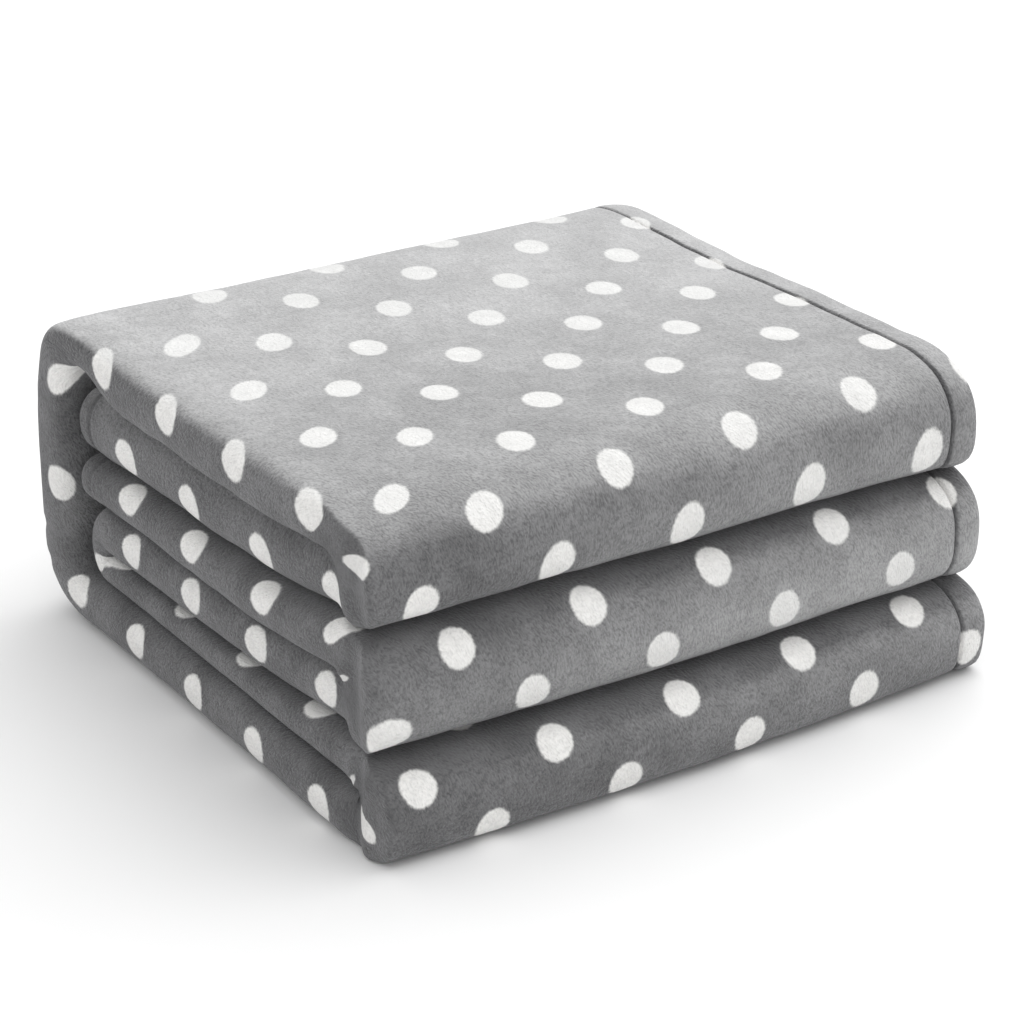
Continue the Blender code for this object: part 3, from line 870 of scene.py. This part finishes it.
def stitching(name, first, last):
    """The lockstitches in the outer hem's groove, from row first to row last."""
    path = PRINTED_FACE[first : last + 1, SEAM]
    lift = NORMALS[first : last + 1, SEAM]
    gaps = np.linalg.norm(np.diff(path, axis=0), axis=1)
    along = np.concatenate([[0], np.cumsum(gaps)])
    count = int(along[-1] / STITCH_PITCH)
    turn = np.linspace(0, 2 * np.pi, THREAD_SIDES, endpoint=False)
    slim = np.sqrt(np.clip(1 - np.abs(BEADS) ** 3, 0.01, 1))
    points, faces = [], []
    for stitch in range(count):
        spots = (stitch + 0.5) * along[-1] / count + BEADS * STITCH_LENGTH / 2
        centre = np.stack([np.interp(spots, along, path[:, k]) for k in range(3)], 1)
        up = np.stack([np.interp(spots, along, lift[:, k]) for k in range(3)], 1)
        side = np.cross(np.gradient(centre, axis=0), up)
        side /= np.linalg.norm(side, axis=1)[:, None]
        centre = centre + up * (RISE - DROP * BEADS**2)[:, None] * THREAD_RADIUS
        ring = np.cos(turn)[None, :, None] * side[:, None] + np.sin(turn)[None, :, None] * up[:, None]
        start = stitch * len(BEADS) * THREAD_SIDES
        points.append(centre[:, None] + ring * (slim * THREAD_RADIUS)[:, None, None])
        for bead in range(len(BEADS) - 1):
            for k in range(THREAD_SIDES):
                low = start + bead * THREAD_SIDES + k
                beside = start + bead * THREAD_SIDES + (k + 1) % THREAD_SIDES
                faces.append((low, beside, beside + THREAD_SIDES, low + THREAD_SIDES))
        faces.append(tuple(start + k for k in range(THREAD_SIDES - 1, -1, -1)))
        faces.append(tuple(start + (len(BEADS) - 1) * THREAD_SIDES + k for k in range(THREAD_SIDES)))
    mesh = bpy.data.meshes.new(name)
    mesh.from_pydata(np.concatenate([part.reshape(-1, 3) for part in points]).tolist(), [], faces)
    mesh.shade_smooth()
    mesh.materials.append(THREAD)
    piece = bpy.data.objects.new(name, mesh)
    bpy.context.scene.collection.objects.link(piece)
    return piece


def thread(name):
    """Dark grey twisted polyester thread."""
    look = bpy.data.materials.new(name)
    look.use_nodes = True
    tree = look.node_tree
    shader = tree.nodes["Principled BSDF"]
    place = tree.nodes.new("ShaderNodeTexCoord").outputs["Object"]
    colour = blend_colours(tree, unevenness(tree, place, TWIST), *THREAD_GREYS)
    tree.links.new(colour, shader.inputs["Base Color"])
    shader.inputs["Roughness"].default_value = 0.6
    return look


THREAD = thread("thread_look")

for fold in ("bottom", "middle"):
    stitches = stitching(fold + "_fold_stitches", *SPAN[fold + "_fold"])
    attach(stitches, "lower_stack")
    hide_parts(fold + "_front_fold_stitching")

stitches = stitching("lower_bend_stitches", *SPAN["lower_bend"])
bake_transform(stitches)

stitches = stitching("spine_stitches", *SPAN["spine"])
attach(stitches, "spine")
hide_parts("spine_stitching")

stitches = stitching("upper_bend_stitches", *SPAN["upper_bend"])
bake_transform(stitches)

stitches = stitching("upper_stack_stitches", SPAN["top_fold"][0], SPAN["top"][1])
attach(stitches, "upper_stack")
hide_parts("top_length_stitching", "top_front_fold_stitching")

# The studio: a plain pale floor, an even white surround and one large soft lamp from the right,
# above and a little in front, so that the left side lies in soft shade.

FLOOR_REACH = 4.0
floor_mesh = bpy.data.meshes.new("floor")
floor_corners = [(-FLOOR_REACH, -FLOOR_REACH, 0), (FLOOR_REACH, -FLOOR_REACH, 0),
                 (FLOOR_REACH, FLOOR_REACH, 0), (-FLOOR_REACH, FLOOR_REACH, 0)]
floor_mesh.from_pydata(floor_corners, [], [(0, 1, 2, 3)])
floor = bpy.data.objects.new("floor", floor_mesh)
bpy.context.scene.collection.objects.link(floor)
floor_look = bpy.data.materials.new("floor")
floor_look.use_nodes = True
floor_shader = floor_look.node_tree.nodes["Principled BSDF"]
floor_shader.inputs["Base Color"].default_value = (0.9, 0.9, 0.9, 1)
floor_shader.inputs["Roughness"].default_value = 0.9
floor_mesh.materials.append(floor_look)

world = bpy.data.worlds.new("studio")
bpy.context.scene.world = world
world.use_nodes = True
surround = world.node_tree.nodes["Background"]
surround.inputs["Color"].default_value = (1, 1, 1, 1)
surround.inputs["Strength"].default_value = 0.88

lamp = bpy.data.lights.new("key", "AREA")
lamp.energy = 21
lamp.size = 2.2
key = bpy.data.objects.new("key", lamp)
key.location = (0.75, 0.15, 1.4)
key.rotation_mode = "QUATERNION"
key.rotation_quaternion = (-Vector(key.location)).to_track_quat("-Z", "Y")
bpy.context.scene.collection.objects.link(key)

# The camera: it stands in front of the stack's left front corner and looks down on it.

lens = bpy.data.cameras.new("camera")
camera = bpy.data.objects.new("camera", lens)
bpy.context.scene.collection.objects.link(camera)
lens.sensor_width = 36
lens.lens = 99.5
target = Vector((-0.0980, -0.152, 0.144))
distance = 1.099
azimuth, elevation = math.radians(-33.4), math.radians(24.3)
away = Vector((math.sin(azimuth) * math.cos(elevation),
               -math.cos(azimuth) * math.cos(elevation), math.sin(elevation)))
camera.location = target + away * distance
camera.rotation_mode = "QUATERNION"
camera.rotation_quaternion = (-away).to_track_quat("-Z", "Y")
bpy.context.scene.camera = camera
bpy.context.scene.view_settings.view_transform = "Standard"
